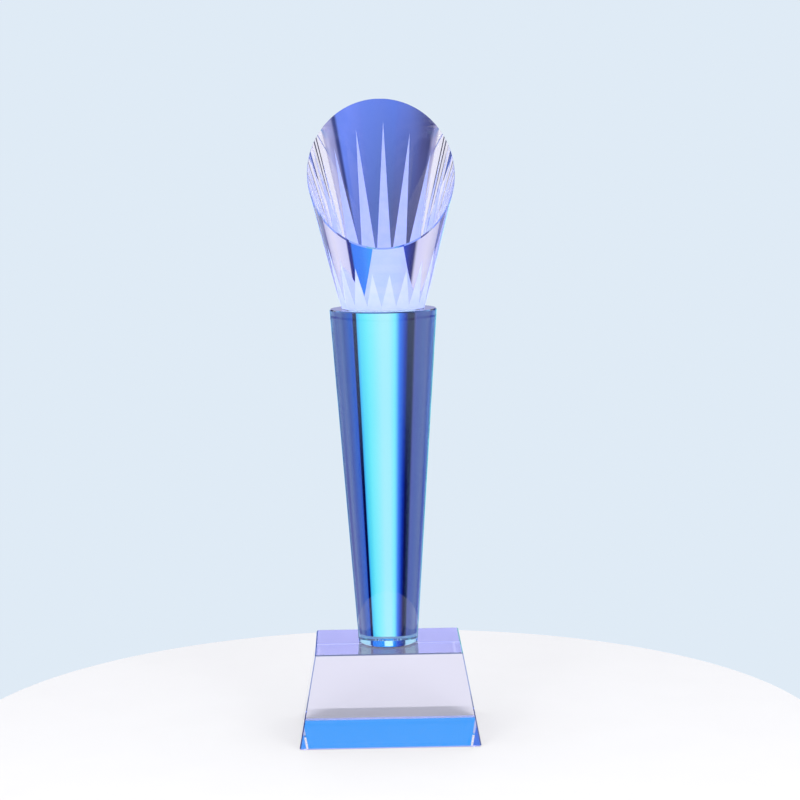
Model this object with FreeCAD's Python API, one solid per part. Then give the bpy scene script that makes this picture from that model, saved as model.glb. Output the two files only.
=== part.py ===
import FreeCAD, Part
import math
import os

# Crystal award: a slant-cut crystal cone on a tapered crystal column, on a crystal base block.
# Millimetres, +Z up. The origin is the middle of the base's underside, and the slanted face looks to -Y.

# Base block: a rectangular block whose four sides flare out towards the bottom.
BASE_BOTTOM_WIDTH = 80.0
BASE_BOTTOM_DEPTH = 60.0
BASE_TOP_WIDTH = 65.0
BASE_TOP_DEPTH = 49.0
BASE_HEIGHT = 41.0
BASE_CHAMFER = 0.5

# Column: a solid cone that widens upwards.
COLUMN_BOTTOM_RADIUS = 13.25
COLUMN_TOP_RADIUS = 23.75
COLUMN_LENGTH = 150.0
COLUMN_CHAMFER = 0.5

# Top crystal: a solid cone that widens upwards, cut across by a slanted plane.
NECK_RADIUS = 18.6
WALL_SLOPE = 0.254  # growth in radius for each millimetre of height
CUT_ANGLE = 44.0  # degrees between the slanted face and the horizontal
CUT_FRONT_HEIGHT = 27.3  # the slanted face's lowest point, above the neck
RIM_CHAMFER = 0.4

# Frosted spikes: shallow pockets round the top crystal's wall, wide at the neck and sharp at the tip.
SPIKE_COUNT = 19
SPIKE_NECK_WIDTH = 7.2
SPIKE_EDGE_DEPTH = 0.15  # how deep a pocket's edges are at the neck
SPIKE_BACK_REACH = 0.862  # a back spike's height, as a share of the rim's height above it
SPIKE_FRONT_REACH = 0.57  # the same for the front of the cone
SPIKE_OFFSET = -2.5  # degrees from the middle of the back to the nearest spike, anticlockwise from above

# Clear adhesive films between the crystals, each a little inside the faces that it joins.
FILM_THICKNESS = 0.2
FILM_INSET = 0.9

# Heights of the pieces above the surface that the award stands on.
COLUMN_BOTTOM = BASE_HEIGHT + FILM_THICKNESS
NECK_FILM_BOTTOM = COLUMN_BOTTOM + COLUMN_LENGTH
NECK_BOTTOM = NECK_FILM_BOTTOM + FILM_THICKNESS

UP = FreeCAD.Vector(0, 0, 1)
ORIGIN = FreeCAD.Vector(0, 0, 0)
OVERSHOOT = 2.0  # how far cutting shapes reach past what they cut
CUTTING_BLOCK = 350.0  # the side of a block larger than the whole award


def solid_from_faces(corner_lists):
    """A closed solid with flat faces, each given by its corners, anticlockwise as seen from outside."""
    faces = []
    for corners in corner_lists:
        points = [FreeCAD.Vector(*corner) for corner in corners]
        faces.append(Part.Face(Part.makePolygon(points + points[:1])))
    return Part.Solid(Part.Shell(faces))


def rectangle(width, depth, height):
    """The corners of a rectangle about the Z axis."""
    x = width / 2
    y = depth / 2
    return [(-x, -y, height), (x, -y, height), (x, y, height), (-x, y, height)]


def make_base():
    """The base block, with a narrow polished chamfer along every edge."""
    low = rectangle(BASE_BOTTOM_WIDTH, BASE_BOTTOM_DEPTH, 0)
    high = rectangle(BASE_TOP_WIDTH, BASE_TOP_DEPTH, BASE_HEIGHT)
    faces = [low[::-1], high]
    for i in range(4):
        j = (i + 1) % 4
        faces.append([low[i], low[j], high[j], high[i]])
    block = solid_from_faces(faces)
    return block.makeChamfer(BASE_CHAMFER, block.Edges).Solids[0]


def make_column():
    """The column, with a chamfer round each end."""
    column = Part.makeCone(COLUMN_BOTTOM_RADIUS, COLUMN_TOP_RADIUS, COLUMN_LENGTH)
    rims = [edge for edge in column.Edges if edge.BoundBox.ZLength < 0.001]
    column = column.makeChamfer(COLUMN_CHAMFER, rims).Solids[0]
    column.translate(UP * COLUMN_BOTTOM)
    return column


def make_film(joined_radius, bottom):
    """One disc of adhesive, a little smaller than the smaller face that it joins."""
    return Part.makeCylinder(joined_radius - FILM_INSET, FILM_THICKNESS, UP * bottom)


def wall_radius(height):
    """The top crystal's radius at a height above its neck."""
    return NECK_RADIUS + WALL_SLOPE * height


def rim_height(turn):
    """The slanted rim's height above the neck, at an angle in radians from the back."""
    steepness = math.tan(math.radians(CUT_ANGLE))
    backward = math.cos(turn)
    reach = NECK_RADIUS * backward + wall_radius(CUT_FRONT_HEIGHT)
    return (CUT_FRONT_HEIGHT + reach * steepness) / (1 - WALL_SLOPE * backward * steepness)


def spike_height(turn):
    """The height of a spike's tip above the neck, at an angle in radians from the back."""
    forward = abs(turn) / math.pi
    share = SPIKE_BACK_REACH + (SPIKE_FRONT_REACH - SPIKE_BACK_REACH) * forward
    return share * rim_height(turn)


def spike_cutter(turn):
    """A pyramid that cuts one flat-floored pocket. Its point is the spike's tip, on the cone's wall."""
    tip = spike_height(turn)
    growth = (tip + OVERSHOOT) / tip
    half = growth * SPIKE_NECK_WIDTH / 2
    neck_half = SPIKE_NECK_WIDTH / 2
    neck_floor = math.sqrt(NECK_RADIUS ** 2 - neck_half ** 2) - SPIKE_EDGE_DEPTH
    point = (wall_radius(tip), 0, tip)
    floor = point[0] + (neck_floor - point[0]) * growth
    outside = NECK_RADIUS + OVERSHOOT
    low = -OVERSHOOT
    base = [(floor, -half, low), (outside, -half, low), (outside, half, low), (floor, half, low)]
    faces = [base[::-1]]
    for i in range(4):
        faces.append([base[i], base[(i + 1) % 4], point])
    cutter = solid_from_faces(faces)
    cutter.rotate(ORIGIN, UP, 90 + math.degrees(turn))
    return cutter


def slant_cutter():
    """A large block that takes away all of the cone above the slanted face."""
    corner = FreeCAD.Vector(-CUTTING_BLOCK / 2, 0, 0)
    block = Part.makeBox(CUTTING_BLOCK, CUTTING_BLOCK, CUTTING_BLOCK, corner)
    block.rotate(ORIGIN, FreeCAD.Vector(1, 0, 0), CUT_ANGLE)
    block.translate(FreeCAD.Vector(0, -wall_radius(CUT_FRONT_HEIGHT), CUT_FRONT_HEIGHT))
    return block


def slanted_rim(cone):
    """The edge of the slanted face, which is the flat face whose normal is neither level nor upright."""
    for face in cone.Faces:
        flat = isinstance(face.Surface, Part.Plane)
        if flat and 0.1 < abs(face.normalAt(0, 0).z) < 0.9:
            return face.Edges


def make_top():
    """The top crystal: the cone, its slanted cut with a narrow chamfer, and the ring of spikes."""
    full_height = rim_height(0) + OVERSHOOT
    cone = Part.makeCone(NECK_RADIUS, wall_radius(full_height), full_height)
    cone.rotate(ORIGIN, UP, -90)  # the wall's seam goes to the front, where the chamfer's ends can meet
    cone = cone.cut(slant_cutter())
    cone = cone.makeChamfer(RIM_CHAMFER, slanted_rim(cone))
    for i in range(SPIKE_COUNT):
        turn = 2 * math.pi * i / SPIKE_COUNT + math.radians(SPIKE_OFFSET)
        if turn > math.pi:
            turn = turn - 2 * math.pi
        cone = cone.cut(spike_cutter(turn))
    cone.translate(UP * NECK_BOTTOM)
    return cone.Solids[0]


os.makedirs("parts", exist_ok=True)
nodes = {
    "base_block": make_base(),
    "base_bond": make_film(COLUMN_BOTTOM_RADIUS, BASE_HEIGHT),
    "column": make_column(),
    "neck_bond": make_film(NECK_RADIUS, NECK_FILM_BOTTOM),
    "top_crystal": make_top(),
}
for name, shape in nodes.items():
    box = shape.BoundBox
    print(name, shape.ShapeType, len(shape.Solids), shape.isValid(), round(shape.Volume, 1),
          [round(v, 2) for v in (box.XMin, box.YMin, box.ZMin, box.XMax, box.YMax, box.ZMax)])
    shape.exportStep("parts/" + name + ".step")
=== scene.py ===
import math

import bmesh
import bpy
from mathutils import Matrix, Vector


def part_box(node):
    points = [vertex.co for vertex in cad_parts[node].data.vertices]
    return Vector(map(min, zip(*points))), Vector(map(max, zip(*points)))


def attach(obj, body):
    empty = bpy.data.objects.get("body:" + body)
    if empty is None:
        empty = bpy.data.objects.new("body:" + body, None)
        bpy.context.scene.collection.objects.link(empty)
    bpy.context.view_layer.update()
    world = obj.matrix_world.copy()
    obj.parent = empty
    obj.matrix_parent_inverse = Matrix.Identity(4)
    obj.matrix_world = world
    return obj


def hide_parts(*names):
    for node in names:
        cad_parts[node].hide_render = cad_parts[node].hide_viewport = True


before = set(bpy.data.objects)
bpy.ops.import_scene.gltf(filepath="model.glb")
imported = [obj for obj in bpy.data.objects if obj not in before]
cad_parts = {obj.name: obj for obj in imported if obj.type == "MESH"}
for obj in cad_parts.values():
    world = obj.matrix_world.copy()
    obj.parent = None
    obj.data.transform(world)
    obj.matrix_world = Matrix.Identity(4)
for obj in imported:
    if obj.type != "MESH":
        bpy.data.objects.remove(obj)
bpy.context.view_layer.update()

MM = 0.001

# ---------------------------------------------------------------------------
# Sizes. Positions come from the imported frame, and the rest repeats the part's
# own driving dimensions, in metres.
# ---------------------------------------------------------------------------

BASE_LOW, BASE_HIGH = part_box("base_block")
COLUMN_LOW, COLUMN_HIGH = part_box("column")
TOP_LOW, TOP_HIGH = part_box("top_crystal")

BASE_BOTTOM_WIDTH = 80 * MM
BASE_BOTTOM_DEPTH = 60 * MM
BASE_TOP_WIDTH = 65 * MM
BASE_TOP_DEPTH = 49 * MM
BASE_CHAMFER = 0.5 * MM

COLUMN_BOTTOM_RADIUS = 13.25 * MM
COLUMN_TOP_RADIUS = 23.75 * MM
COLUMN_CHAMFER = 0.5 * MM

NECK_RADIUS = 18.6 * MM
WALL_SLOPE = 0.254
CUT_ANGLE = math.radians(44)
CUT_FRONT_HEIGHT = 27.3 * MM
# A little over the CAD's 0.4 mm, so that the rim's corners stay inside the CAD's.
RIM_CHAMFER = 0.43 * MM

SPIKE_COUNT = 19
SPIKE_NECK_WIDTH = 7.2 * MM
SPIKE_EDGE_DEPTH = 0.15 * MM
SPIKE_BACK_REACH = 0.862
SPIKE_FRONT_REACH = 0.57
SPIKE_OFFSET = math.radians(-2.5)

# The crystals stop this far from the adhesive, so that no two faces lie in the same place.
BOND_GAP = 0.02 * MM

ROUND_SEGMENTS = 380
# How far cutting shapes reach past what they cut.
OVERSHOOT = 2 * MM
# How far a corner may be from a conical wall and still belong to it.
WALL_TOLERANCE = 0.01 * MM

# ---------------------------------------------------------------------------
# Mesh helpers
# ---------------------------------------------------------------------------


def object_from_bmesh(name, mesh_builder, materials):
    """A new object from a bmesh, with its materials in slot order."""
    mesh = bpy.data.meshes.new(name)
    mesh_builder.to_mesh(mesh)
    mesh_builder.free()
    for material in materials:
        mesh.materials.append(material)
    piece = bpy.data.objects.new(name, mesh)
    bpy.context.scene.collection.objects.link(piece)
    return piece


def ring(builder, radius, height):
    """One horizontal ring of vertices about the Z axis. The first one is at the front."""
    points = []
    for i in range(ROUND_SEGMENTS):
        angle = 2 * math.pi * i / ROUND_SEGMENTS - math.pi / 2
        points.append(builder.verts.new((radius * math.cos(angle), radius * math.sin(angle), height)))
    return points


def turned_solid(profile):
    """A closed solid turned from (radius, height) points, from the bottom up."""
    builder = bmesh.new()
    rings = [ring(builder, radius, height) for radius, height in profile]
    builder.faces.new(rings[0][::-1])
    for low, high in zip(rings, rings[1:]):
        for i in range(ROUND_SEGMENTS):
            j = (i + 1) % ROUND_SEGMENTS
            builder.faces.new((low[i], low[j], high[j], high[i]))
    builder.faces.new(rings[-1])
    return builder


def shade_by_wall(piece, walls):
    """Exact normals on conical walls, and flat normals elsewhere.

    walls is a list of (radius at height 0, slope). A face belongs to a wall when all its corners lie on it.
    """
    mesh = piece.data
    mesh.polygons.foreach_set("use_smooth", [True] * len(mesh.polygons))
    normals = [None] * len(mesh.loops)
    for polygon in mesh.polygons:
        wall = wall_of(mesh, polygon, walls)
        for loop in polygon.loop_indices:
            if wall is None:
                normals[loop] = polygon.normal
            else:
                corner = mesh.vertices[mesh.loops[loop].vertex_index].co
                outward = Vector((corner.x, corner.y, 0)).normalized()
                normals[loop] = (outward - Vector((0, 0, wall))).normalized()
    mesh.normals_split_custom_set(normals)


def wall_of(mesh, polygon, walls):
    """The slope of the wall that a face lies on, or None."""
    corners = [mesh.vertices[v].co for v in polygon.vertices]
    for start, slope in walls:
        expected = [start + slope * corner.z for corner in corners]
        misses = [abs(math.hypot(c.x, c.y) - radius) for c, radius in zip(corners, expected)]
        upright = abs(polygon.normal.z) < 0.9
        if max(misses) < WALL_TOLERANCE and upright:
            return slope
    return None


# ---------------------------------------------------------------------------
# Base block
# ---------------------------------------------------------------------------


def make_base(material, edge, glowing_frosted):
    """The flared block. Every edge has a polished chamfer. The upright and top chamfers take the crystal
    with painted dark edge lines, the bottom ones stay clear, and the one under the back takes the frosted
    crystal, whose faint painted glow stands for a bright line along the bottom of the back.
    """
    builder = bmesh.new()
    low = [builder.verts.new(p) for p in rectangle(BASE_BOTTOM_WIDTH, BASE_BOTTOM_DEPTH, BASE_LOW.z)]
    top_height = BASE_HIGH.z - BOND_GAP
    high = [builder.verts.new(p) for p in rectangle(BASE_TOP_WIDTH, BASE_TOP_DEPTH, top_height)]
    builder.faces.new(low[::-1])
    builder.faces.new(high)
    for i in range(4):
        j = (i + 1) % 4
        builder.faces.new((low[i], low[j], high[j], high[i]))
    edges = builder.edges[:]
    # Every chamfer first takes slot 1, the crystal with painted dark edge lines.
    bmesh.ops.bevel(builder, geom=edges, offset=BASE_CHAMFER, segments=1, affect="EDGES", material=1)
    # Bottom chamfers go back to clear crystal, except the one under the back, which takes the frosted
    # crystal with its painted glow, for a faint bright line there.
    for face in builder.faces:
        centre = face.calc_center_median()
        if centre.z < BASE_LOW.z + BASE_CHAMFER:
            face.material_index = 2 if centre.y > BASE_HIGH.y - 2 * BASE_CHAMFER else 0
    return object_from_bmesh("base_block_crystal", builder, [material, edge, glowing_frosted])


def rectangle(width, depth, height):
    """The corners of a rectangle about the Z axis, anticlockwise from above."""
    x = width / 2
    y = depth / 2
    return [(-x, -y, height), (x, -y, height), (x, y, height), (-x, y, height)]


# ---------------------------------------------------------------------------
# Column
# ---------------------------------------------------------------------------


def make_column(material, edge, foot):
    """The tapered column, chamfered round both ends."""
    bottom = COLUMN_LOW.z + BOND_GAP
    top = COLUMN_HIGH.z - BOND_GAP
    slope = (COLUMN_TOP_RADIUS - COLUMN_BOTTOM_RADIUS) / (top - bottom)
    cut = COLUMN_CHAMFER
    profile = [
        (COLUMN_BOTTOM_RADIUS - cut, bottom),
        (COLUMN_BOTTOM_RADIUS + slope * cut, bottom + cut),
        (COLUMN_TOP_RADIUS - slope * cut, top - cut),
        (COLUMN_TOP_RADIUS - cut, top),
    ]
    piece = object_from_bmesh("column_crystal", turned_solid(profile), [material, edge, foot])
    # The top chamfer takes the crystal with painted dark edge lines; the bottom one takes the clear
    # crystal.
    for polygon in piece.data.polygons:
        if polygon.center.z > top - cut and len(polygon.vertices) == 4:
            polygon.material_index = 1
        if polygon.center.z < bottom + cut:
            polygon.material_index = 2
    shade_by_wall(piece, turned_walls(profile))
    return piece


def turned_walls(profile):
    """The (radius at height 0, slope) of each conical band of a turned profile."""
    walls = []
    for (low_radius, low), (high_radius, high) in zip(profile, profile[1:]):
        slope = (high_radius - low_radius) / (high - low)
        walls.append((low_radius - slope * low, slope))
    return walls


# ---------------------------------------------------------------------------
# Top crystal
# ---------------------------------------------------------------------------


def wall_radius(height):
    """The top crystal's radius at a height above its neck."""
    return NECK_RADIUS + WALL_SLOPE * height


def rim_height(turn):
    """The slanted rim's height above the neck, at an angle in radians from the back."""
    steepness = math.tan(CUT_ANGLE)
    backward = math.cos(turn)
    reach = NECK_RADIUS * backward + wall_radius(CUT_FRONT_HEIGHT)
    return (CUT_FRONT_HEIGHT + reach * steepness) / (1 - WALL_SLOPE * backward * steepness)


def spike_height(turn):
    """The height of a spike's tip above the neck, at an angle in radians from the back."""
    forward = abs(turn) / math.pi
    share = SPIKE_BACK_REACH + (SPIKE_FRONT_REACH - SPIKE_BACK_REACH) * forward
    return share * rim_height(turn)


def spike_cutter(builder, turn):
    """A pyramid that cuts one flat-floored spike. Its point is the spike's tip."""
    tip = spike_height(turn)
    growth = (tip + OVERSHOOT) / tip
    half = growth * SPIKE_NECK_WIDTH / 2
    neck_floor = math.sqrt(NECK_RADIUS ** 2 - (SPIKE_NECK_WIDTH / 2) ** 2) - SPIKE_EDGE_DEPTH
    tip_radius = wall_radius(tip)
    floor = tip_radius + (neck_floor - tip_radius) * growth
    outside = NECK_RADIUS + OVERSHOOT
    low = -OVERSHOOT
    corners = [(floor, -half, low), (outside, -half, low), (outside, half, low), (floor, half, low)]
    place = Matrix.Translation((0, 0, TOP_LOW.z)) @ Matrix.Rotation(math.pi / 2 + turn, 4, "Z")
    base = [builder.verts.new(place @ Vector(corner)) for corner in corners]
    point = builder.verts.new(place @ Vector((tip_radius, 0, tip)))
    faces = [builder.faces.new(base[::-1])]
    for i in range(4):
        faces.append(builder.faces.new((base[i], base[(i + 1) % 4], point)))
    for face in faces:
        face.material_index = 1


def slant_cut_cone():
    """The cone cut across by the slanted plane, with a narrow chamfer round the rim."""
    bottom = TOP_LOW.z + BOND_GAP
    full_height = rim_height(0) + OVERSHOOT
    foot = (wall_radius(bottom - TOP_LOW.z), bottom)
    crown = (wall_radius(full_height), TOP_LOW.z + full_height)
    builder = turned_solid([foot, crown])
    normal = Vector((0, -math.sin(CUT_ANGLE), math.cos(CUT_ANGLE)))
    front = Vector((0, -wall_radius(CUT_FRONT_HEIGHT), TOP_LOW.z + CUT_FRONT_HEIGHT))
    geometry = builder.verts[:] + builder.edges[:] + builder.faces[:]
    cut = bmesh.ops.bisect_plane(builder, geom=geometry, plane_co=front, plane_no=normal, clear_outer=True)
    rim = [item for item in cut["geom_cut"] if isinstance(item, bmesh.types.BMEdge)]
    bmesh.ops.edgeloop_fill(builder, edges=rim)
    bmesh.ops.recalc_face_normals(builder, faces=builder.faces[:])
    # The rim chamfer takes slot 2, the crystal with painted dark edge lines.
    bmesh.ops.bevel(builder, geom=rim, offset=RIM_CHAMFER, segments=1, affect="EDGES", material=2)
    return builder


def make_top(clear, frosted, edge):
    """The top crystal, with the ring of frosted spikes cut into its wall."""
    piece = object_from_bmesh("top_crystal_cut", slant_cut_cone(), [clear, frosted, edge])
    cutters = bmesh.new()
    for i in range(SPIKE_COUNT):
        turn = 2 * math.pi * i / SPIKE_COUNT + SPIKE_OFFSET
        if turn > math.pi:
            turn = turn - 2 * math.pi
        spike_cutter(cutters, turn)
    cutter = object_from_bmesh("spike_cutters", cutters, [clear, frosted, edge])
    modifier = piece.modifiers.new("spikes", "BOOLEAN")
    modifier.operation = "DIFFERENCE"
    modifier.solver = "EXACT"
    modifier.use_self = True
    modifier.object = cutter
    bpy.context.view_layer.update()
    cut_mesh = bpy.data.meshes.new_from_object(piece.evaluated_get(bpy.context.evaluated_depsgraph_get()))
    piece.modifiers.clear()
    piece.data = cut_mesh
    bpy.data.objects.remove(cutter)
    shade_by_wall(piece, [(NECK_RADIUS - WALL_SLOPE * TOP_LOW.z, WALL_SLOPE)])
    return piece


# ---------------------------------------------------------------------------
# Node helpers
# ---------------------------------------------------------------------------


def noise(tree, scale, detail):
    """A noise texture over the object's own coordinates, in metres."""
    coordinates = tree.nodes.new("ShaderNodeTexCoord")
    texture = tree.nodes.new("ShaderNodeTexNoise")
    texture.inputs["Scale"].default_value = scale
    texture.inputs["Detail"].default_value = detail
    tree.links.new(coordinates.outputs["Object"], texture.inputs["Vector"])
    return texture.outputs["Fac"]


def ranged(tree, value, low, high, new_low, new_high):
    """A value moved from one range to another, and held inside it."""
    node = tree.nodes.new("ShaderNodeMapRange")
    node.inputs["From Min"].default_value = low
    node.inputs["From Max"].default_value = high
    node.inputs["To Min"].default_value = new_low
    node.inputs["To Max"].default_value = new_high
    tree.links.new(value, node.inputs["Value"])
    return node.outputs["Result"]


def mixed_colour(tree, factor, first, second):
    """One colour shading into another. Each is a colour or the socket that gives one."""
    node = tree.nodes.new("ShaderNodeMix")
    node.data_type = "RGBA"
    tree.links.new(factor, node.inputs["Factor"])
    for socket, colour in (("A", first), ("B", second)):
        if isinstance(colour, tuple):
            node.inputs[socket].default_value = (*colour, 1)
        else:
            tree.links.new(colour, node.inputs[socket])
    return node.outputs["Result"]


def math_node(tree, operation, first, second=None):
    """A Math node on numbers or sockets."""
    node = tree.nodes.new("ShaderNodeMath")
    node.operation = operation
    for index, value in enumerate((first, second)):
        if value is None:
            continue
        if isinstance(value, (int, float)):
            node.inputs[index].default_value = value
        else:
            tree.links.new(value, node.inputs[index])
    return node.outputs["Value"]


def srgb(code):
    """A linear colour from a six-figure hex code."""
    parts = [int(code[i:i + 2], 16) / 255 for i in (0, 2, 4)]
    return tuple(p / 12.92 if p <= 0.04045 else ((p + 0.055) / 1.055) ** 2.4 for p in parts)


def ramp(tree, value, stops):
    """A colour ramp with (position, hex colour) stops."""
    node = tree.nodes.new("ShaderNodeValToRGB")
    elements = node.color_ramp.elements
    while len(elements) > 1:
        elements.remove(elements[-1])
    first_position, first_code = stops[0]
    elements[0].position = first_position
    elements[0].color = (*srgb(first_code), 1)
    for position, code in stops[1:]:
        element = elements.new(position)
        element.color = (*srgb(code), 1)
    tree.links.new(value, node.inputs["Fac"])
    return node.outputs["Color"]


# ---------------------------------------------------------------------------
# Materials
# ---------------------------------------------------------------------------

CRYSTAL_IOR = 1.52
ADHESIVE_IOR = 1.5


def new_material(name):
    """A node material with only an output and a Principled shader, its tree and that shader."""
    material = bpy.data.materials.new(name)
    material.use_nodes = True
    tree = material.node_tree
    tree.nodes.clear()
    output = tree.nodes.new("ShaderNodeOutputMaterial")
    shader = tree.nodes.new("ShaderNodeBsdfPrincipled")
    tree.links.new(shader.outputs["BSDF"], output.inputs["Surface"])
    return material, tree, shader


def add_bump(tree, shader, height, strength, distance):
    """Surface relief from a height value."""
    bump = tree.nodes.new("ShaderNodeBump")
    bump.inputs["Strength"].default_value = strength
    bump.inputs["Distance"].default_value = distance
    tree.links.new(height, bump.inputs["Height"])
    tree.links.new(bump.outputs["Normal"], shader.inputs["Normal"])


def polished_crystal(name, first, second):
    """Clear polished crystal: a faint drift of tint, and smudges that dull the polish very slightly."""
    material, tree, shader = new_material(name)
    shader.inputs["Transmission Weight"].default_value = 1
    shader.inputs["IOR"].default_value = CRYSTAL_IOR
    drift = ranged(tree, noise(tree, scale=18, detail=1), 0.35, 0.65, 0, 1)
    tree.links.new(mixed_colour(tree, drift, first, second), shader.inputs["Base Color"])
    smudges = ranged(tree, noise(tree, scale=70, detail=4), 0.55, 0.75, 0, 0.02)
    tree.links.new(smudges, shader.inputs["Roughness"])
    return material


def frosted_crystal_painted_glow():
    """Ground crystal: milky, fine-grained, lit by what is behind it, and with a faint painted glow."""
    material, tree, shader = new_material("frosted_crystal_painted_glow")
    shader.inputs["Transmission Weight"].default_value = 0.6
    shader.inputs["IOR"].default_value = CRYSTAL_IOR
    cloud = ranged(tree, noise(tree, scale=240, detail=3), 0.3, 0.7, 0, 1)
    tint = mixed_colour(tree, cloud, (0.7, 0.71, 1.0), (0.8, 0.77, 1.0))
    tree.links.new(tint, shader.inputs["Base Color"])
    grain = noise(tree, scale=3200, detail=2)
    tree.links.new(ranged(tree, grain, 0.3, 0.7, 0.75, 0.95), shader.inputs["Roughness"])
    add_bump(tree, shader, grain, strength=0.25, distance=0.05 * MM)
    # Frosted crystal passes on light that entered it elsewhere; a faint painted glow stands in for that
    # light.
    shader.inputs["Emission Color"].default_value = (0.25, 0.4, 1.0, 1)
    shader.inputs["Emission Strength"].default_value = 0.3
    return material


def clear_adhesive():
    """Cured clear adhesive, with a trace of unevenness."""
    material, tree, shader = new_material("clear_adhesive")
    shader.inputs["Transmission Weight"].default_value = 1
    shader.inputs["IOR"].default_value = ADHESIVE_IOR
    ripple = noise(tree, scale=260, detail=2)
    tint = mixed_colour(tree, ripple, (0.96, 0.97, 1.0), (0.98, 0.99, 1.0))
    tree.links.new(tint, shader.inputs["Base Color"])
    tree.links.new(ranged(tree, ripple, 0.3, 0.7, 0, 0.05), shader.inputs["Roughness"])
    return material


def pale_floor():
    """A matt pale surface with the faintest mottling."""
    material, tree, shader = new_material("pale_floor")
    mottling = noise(tree, scale=30, detail=3)
    tint = mixed_colour(tree, mottling, (0.58, 0.57, 0.567), (0.6, 0.59, 0.587))
    tree.links.new(tint, shader.inputs["Base Color"])
    shader.inputs["Roughness"].default_value = 0.85
    shader.inputs["Specular IOR Level"].default_value = 0.2
    return material


# ---------------------------------------------------------------------------
# Floor
# ---------------------------------------------------------------------------

FLOOR_RADIUS = 0.2
FLOOR_THICKNESS = 0.012
FLOOR_EDGE = 0.002
# The floor lies this far under the base, so that no two faces lie in the same place.
FLOOR_GAP = 0.03 * MM


def make_floor():
    """A round pale table top under the award, chamfered round both edges."""
    builder = turned_solid([
        (FLOOR_RADIUS - FLOOR_EDGE, -FLOOR_THICKNESS),
        (FLOOR_RADIUS, -FLOOR_THICKNESS + FLOOR_EDGE),
        (FLOOR_RADIUS, -FLOOR_EDGE - FLOOR_GAP),
        (FLOOR_RADIUS - FLOOR_EDGE, -FLOOR_GAP),
    ])
    floor = object_from_bmesh("floor", builder, [pale_floor()])


# ---------------------------------------------------------------------------
# Surroundings. The camera and matt surfaces see plain pale ones. Crystal bends
# and mirrors the blue ones, whose colours are given here by their bearing in
# degrees from straight behind the award.
# ---------------------------------------------------------------------------

BACKDROP = (0.74, 0.83, 0.92)
SCATTERED_LIGHT = (1.0, 1.02, 1.06)

# These four repeat every quarter turn, from -45 to 45 degrees.
LEVEL_COLOURS = [
    (-45, "8070AA"),
    (-34, "6A60A4"),
    (-27, "705EA8"),
    (-24, "100E44"),
    (-19, "0C1250"),
    (-16, "1C36B4"),
    (-11.5, "3C7CF4"),
    (-8, "A0F8FF"),
    (-3, "E1FFFF"),
    (2, "E1FFFF"),
    (9, "B2FFFF"),
    (14, "90FBFF"),
    (19, "74EAFF"),
    (21.6, "58C0FF"),
    (22.4, "000448"),
    (25.6, "000448"),
    (26.4, "3458CC"),
    (30.4, "4560C0"),
    (38, "5650A0"),
    (45, "8070AA"),
]
HIGH_COLOURS = [
    (-45, "F4F2FF"),
    (-27, "E4E2FC"),
    (-24, "242870"),
    (-20, "1E2C90"),
    (-12, "2A50D8"),
    (-6, "18A4FF"),
    (6, "18A4FF"),
    (14, "3A90FF"),
    (23, "3484FF"),
    (24.5, "08147C"),
    (27, "0C1C8C"),
    (28.5, "E0E2FF"),
    (45, "F4F2FF"),
]
LOW_COLOURS = [
    (-45, "B4B4DC"),
    (-32, "A0A0CC"),
    (-26, "4C5080"),
    (-19, "565C94"),
    (-12, "6478C4"),
    (-4, "688CF4"),
    (10, "7898FC"),
    (18, "7494F8"),
    (19.5, "3A4480"),
    (21, "444E88"),
    (23, "A0A4D4"),
    (34, "C8C8EC"),
    (45, "B4B4DC"),
]
DEEP_COLOURS = [
    (-45, "9898BC"),
    (-28, "8080A8"),
    (-24, "3C4060"),
    (-16, "4A4E70"),
    (-7, "5C6698"),
    (3, "6078C4"),
    (14, "687CC8"),
    (18, "6074C0"),
    (20, "303A70"),
    (22, "8C8CB4"),
    (45, "9898BC"),
]

# These two are the viewer's side of the room, and are alike on the left and the right. Near level it has
# three dark bands on each side, which the crystal draws out into streaks.
NEAR_COLOURS = [
    (127.8, "FFFFFF"),
    (129.6, "2C2C3A"),
    (135.9, "2C2C3A"),
    (137.7, "FFFFFF"),
    (144, "FFFFFF"),
    (145.8, "4A4A5C"),
    (151.2, "4A4A5C"),
    (153, "FFFFFF"),
    (161.1, "FFFFFF"),
    (162.36, "2C2C3A"),
    (166.5, "2C2C3A"),
    (168.3, "FFFFFF"),
]
NEAR_LOW_COLOURS = [
    (104.4, "20243A"),
    (133.2, "20243A"),
    (144, "A0D4F4"),
    (180, "B8E8FF"),
]

WHITE = (1.0, 1.0, 1.0)
SIDE_COLOUR = (0.2, 0.22, 0.5)
SIDE_STRENGTH = 0.6
SHELF_COLOUR = (0.56, 0.58, 1.0)
LEDGE_COLOUR = (1.1, 1.15, 2.5)
OVERHEAD_COLOUR = (0.16, 0.18, 0.3)


def plain_colour(tree, colour):
    """A colour socket of one plain colour, which may be brighter than white."""
    node = tree.nodes.new("ShaderNodeRGB")
    node.outputs["Color"].default_value = (*colour, 1)
    return node.outputs["Color"]


def quarter_ramp(tree, across, stops):
    """Colours that repeat every quarter turn. across runs from 0 to 1 over the quarter."""
    return ramp(tree, across, [((bearing + 45) / 90, code) for bearing, code in stops])


def near_ramp(tree, sideways, stops):
    """Colours by the bearing from straight behind the award, alike on both sides."""
    share = math_node(tree, "DIVIDE", sideways, math.pi)
    return ramp(tree, share, [(bearing / 180, code) for bearing, code in stops])


def share_past(tree, angle, start, end, most=1):
    """0 on the start's side of a blend between two angles in degrees, and most on the end's side."""
    return ranged(tree, angle, math.radians(start), math.radians(end), 0, most)


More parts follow.
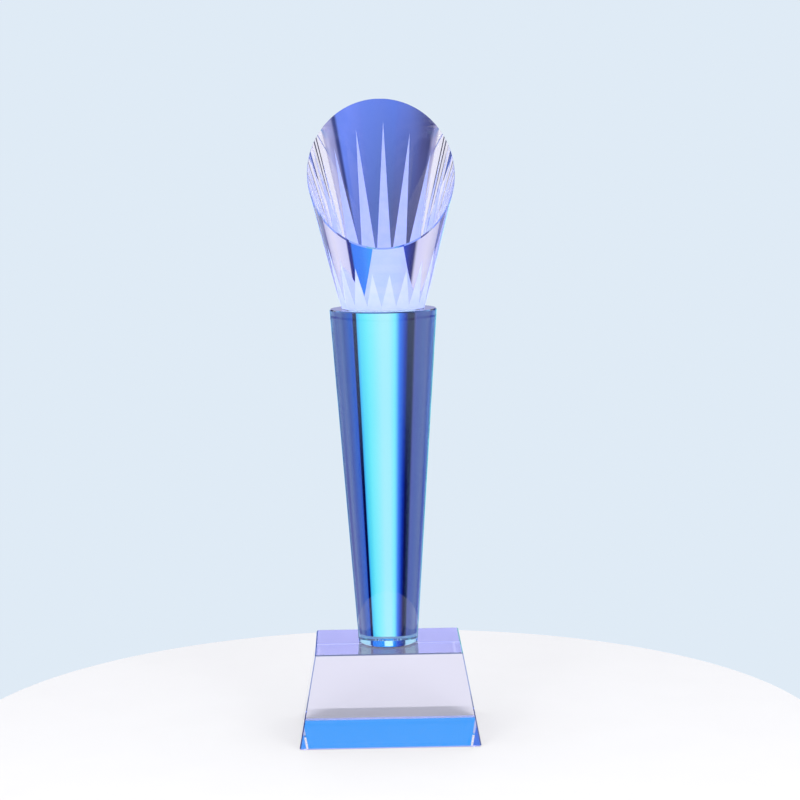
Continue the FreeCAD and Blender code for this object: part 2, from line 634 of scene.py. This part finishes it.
def far_colours(tree, across, sideways, height):
    """What lies behind the award from just below level up: level colours, a pale shelf, then high ones."""
    upper = quarter_ramp(tree, across, LEVEL_COLOURS)
    side_share = share_past(tree, sideways, 58, 66, SIDE_STRENGTH)
    upper = mixed_colour(tree, side_share, upper, plain_colour(tree, SIDE_COLOUR))
    shelf_share = share_past(tree, height, 2, 4.5)
    upper = mixed_colour(tree, shelf_share, upper, plain_colour(tree, SHELF_COLOUR))
    high_share = share_past(tree, height, 9.5, 11)
    upper = mixed_colour(tree, high_share, upper, quarter_ramp(tree, across, HIGH_COLOURS))
    ledge_share = math_node(tree, "MULTIPLY", ledge_shape(tree, across, height), high_share)
    return mixed_colour(tree, ledge_share, upper, plain_colour(tree, LEDGE_COLOUR))


def ledge_shape(tree, across, height):
    """A short bright ledge in the middle of each quarter, at the bottom of the high colours."""
    from_middle = math_node(tree, "ABSOLUTE", math_node(tree, "SUBTRACT", across, 0.5))
    width = ranged(tree, from_middle, 6.5 / 90, 4.5 / 90, 0, 1)
    top_edge = share_past(tree, height, 15, 14.5)
    return math_node(tree, "MULTIPLY", width, top_edge)


def far_low_colours(tree, across, height):
    """What lies behind the award, well below level."""
    low = quarter_ramp(tree, across, LOW_COLOURS)
    deep = quarter_ramp(tree, across, DEEP_COLOURS)
    return mixed_colour(tree, share_past(tree, height, -18.2, -20.8), low, deep)


def near_colours(tree, sideways, height):
    """The viewer's side of the room, from just below level upwards: white, with dark bands near level."""
    over_low_end = share_past(tree, height, -3, -1)
    under_high_end = share_past(tree, height, 9, 7)
    band_share = math_node(tree, "MULTIPLY", over_low_end, under_high_end)
    return mixed_colour(tree, band_share, WHITE, near_ramp(tree, sideways, NEAR_COLOURS))


def bent_colours(tree):
    """All the surroundings that crystal bends and mirrors."""
    coordinates = tree.nodes.new("ShaderNodeTexCoord")
    direction = tree.nodes.new("ShaderNodeSeparateXYZ")
    tree.links.new(coordinates.outputs["Generated"], direction.inputs["Vector"])
    bearing = math_node(tree, "ARCTAN2", direction.outputs["X"], direction.outputs["Y"])
    height = math_node(tree, "ARCSINE", direction.outputs["Z"])
    sideways = math_node(tree, "ABSOLUTE", bearing)
    positive = math_node(tree, "ADD", bearing, math.pi / 4 + 2 * math.pi)
    across = math_node(tree, "FRACT", math_node(tree, "DIVIDE", positive, math.pi / 2))

    near = share_past(tree, sideways, 100, 108)
    far = far_colours(tree, across, sideways, height)
    upper = mixed_colour(tree, near, far, near_colours(tree, sideways, height))
    far_low = far_low_colours(tree, across, height)
    lower = mixed_colour(tree, near, far_low, near_ramp(tree, sideways, NEAR_LOW_COLOURS))
    bent = mixed_colour(tree, share_past(tree, height, -11, -15), upper, lower)
    overhead = plain_colour(tree, OVERHEAD_COLOUR)
    return mixed_colour(tree, share_past(tree, height, 28, 50), bent, overhead)


def make_surroundings():
    """The studio: pale to the camera and on matt surfaces, and blue where crystal bends or mirrors it."""
    world = bpy.data.worlds.new("studio")
    bpy.context.scene.world = world
    world.use_nodes = True
    tree = world.node_tree
    tree.nodes.clear()
    output = tree.nodes.new("ShaderNodeOutputWorld")
    background = tree.nodes.new("ShaderNodeBackground")
    tree.links.new(background.outputs["Background"], output.inputs["Surface"])

    path = tree.nodes.new("ShaderNodeLightPath")
    scattered = math_node(tree, "GREATER_THAN", path.outputs["Diffuse Depth"], 0.5)
    plain = mixed_colour(tree, scattered, plain_colour(tree, BACKDROP), plain_colour(tree, SCATTERED_LIGHT))
    direct = math_node(tree, "MAXIMUM", path.outputs["Is Camera Ray"], scattered)
    studio = mixed_colour(tree, direct, bent_colours(tree), plain)
    tree.links.new(studio, background.inputs["Color"])


# ---------------------------------------------------------------------------
# Lamps and camera
# ---------------------------------------------------------------------------

AWARD_MIDDLE = (0, 0, 0.15)
SIDE_LAMP_DISTANCE = 0.75
HIGH_LAMP_PLACE = (0, -0.517, 1.393)
HIGH_LAMP_TARGET = (0, 0.04, 0)


def soft_lamp(name, place, target, width, height, power):
    """A rectangular softbox that lights matt surfaces, and isn't seen in the crystal."""
    lamp = bpy.data.lights.new(name, "AREA")
    lamp.shape = "RECTANGLE"
    lamp.size = width
    lamp.size_y = height
    lamp.energy = power
    holder = bpy.data.objects.new(name, lamp)
    bpy.context.scene.collection.objects.link(holder)
    holder.location = place
    holder.rotation_euler = (Vector(target) - Vector(place)).to_track_quat("-Z", "Y").to_euler()
    holder.visible_camera = False
    holder.visible_glossy = False
    holder.visible_transmission = False
    return holder


def make_lamps(shadow_caster):
    """A softbox on each side in front, and a strip high above, whose shadow is cast by the base alone."""
    for name, side in (("left_softbox", -1), ("right_softbox", 1)):
        place = (side * SIDE_LAMP_DISTANCE, -1.3, 0.6)
        soft_lamp(name, place, AWARD_MIDDLE, width=0.5, height=0.9, power=5)
    high = soft_lamp("high_softbox", HIGH_LAMP_PLACE, HIGH_LAMP_TARGET, width=0.5, height=0.03, power=14)
    casters = bpy.data.collections.new("shadow_casters")
    casters.objects.link(shadow_caster)
    high.light_linking.blocker_collection = casters


def make_camera():
    """The camera: nearly level with the top crystal, close to square-on, and rolled by under a degree."""
    distance = 0.9317
    height = 0.2635
    sideways = 0.00686
    pitch = 0.121
    roll = -0.0146
    turn = 0.0188
    data = bpy.data.cameras.new("camera")
    data.sensor_width = 36
    data.lens = 95.1
    data.clip_start = 0.01
    camera = bpy.data.objects.new("camera", data)
    bpy.context.scene.collection.objects.link(camera)
    upright = Matrix.Rotation(math.pi / 2 - pitch, 4, "X") @ Matrix.Rotation(roll, 4, "Z")
    place = Matrix.Translation((sideways, -distance, height))
    camera.matrix_world = Matrix.Rotation(-turn, 4, "Z") @ place @ upright
    bpy.context.scene.camera = camera


def set_light_paths():
    """Enough bounces for light to cross all the crystal, and colours shown as they are."""
    scene = bpy.context.scene
    scene.view_settings.view_transform = "Standard"
    scene.cycles.max_bounces = 24
    scene.cycles.transmission_bounces = 24
    scene.cycles.glossy_bounces = 16


# ---------------------------------------------------------------------------
# The award
# ---------------------------------------------------------------------------

clear_crystal = polished_crystal("clear_crystal", (0.86, 0.85, 0.99), (0.88, 0.87, 1.0))
blue_crystal = polished_crystal("blue_crystal", (0.48, 0.86, 1.0), (0.52, 0.89, 1.0))
# The dark blue of this crystal is painted shade: it stands in for the dark lines that the chamfers show by
# bending and mirroring dark surroundings.
painted_dark_edge_crystal = polished_crystal("painted_dark_edge_crystal", (0.16, 0.24, 0.62), (0.2, 0.3, 0.7))
frosted = frosted_crystal_painted_glow()
adhesive = clear_adhesive()

base = make_base(clear_crystal, painted_dark_edge_crystal, frosted)
column = make_column(blue_crystal, painted_dark_edge_crystal, clear_crystal)
top = make_top(clear_crystal, frosted, painted_dark_edge_crystal)

for piece, node, slot in (
    (base, "base_block", "clear_crystal"),
    (column, "column", "blue_crystal"),
    (top, "top_crystal", "clear_crystal"),
):
    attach(piece, "root")
    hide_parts(node)

for node in ("base_bond", "neck_bond"):
    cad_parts[node].material_slots[0].material = adhesive

make_floor()
make_surroundings()
make_lamps(base)
make_camera()
set_light_paths()

bpy.context.view_layer.update()
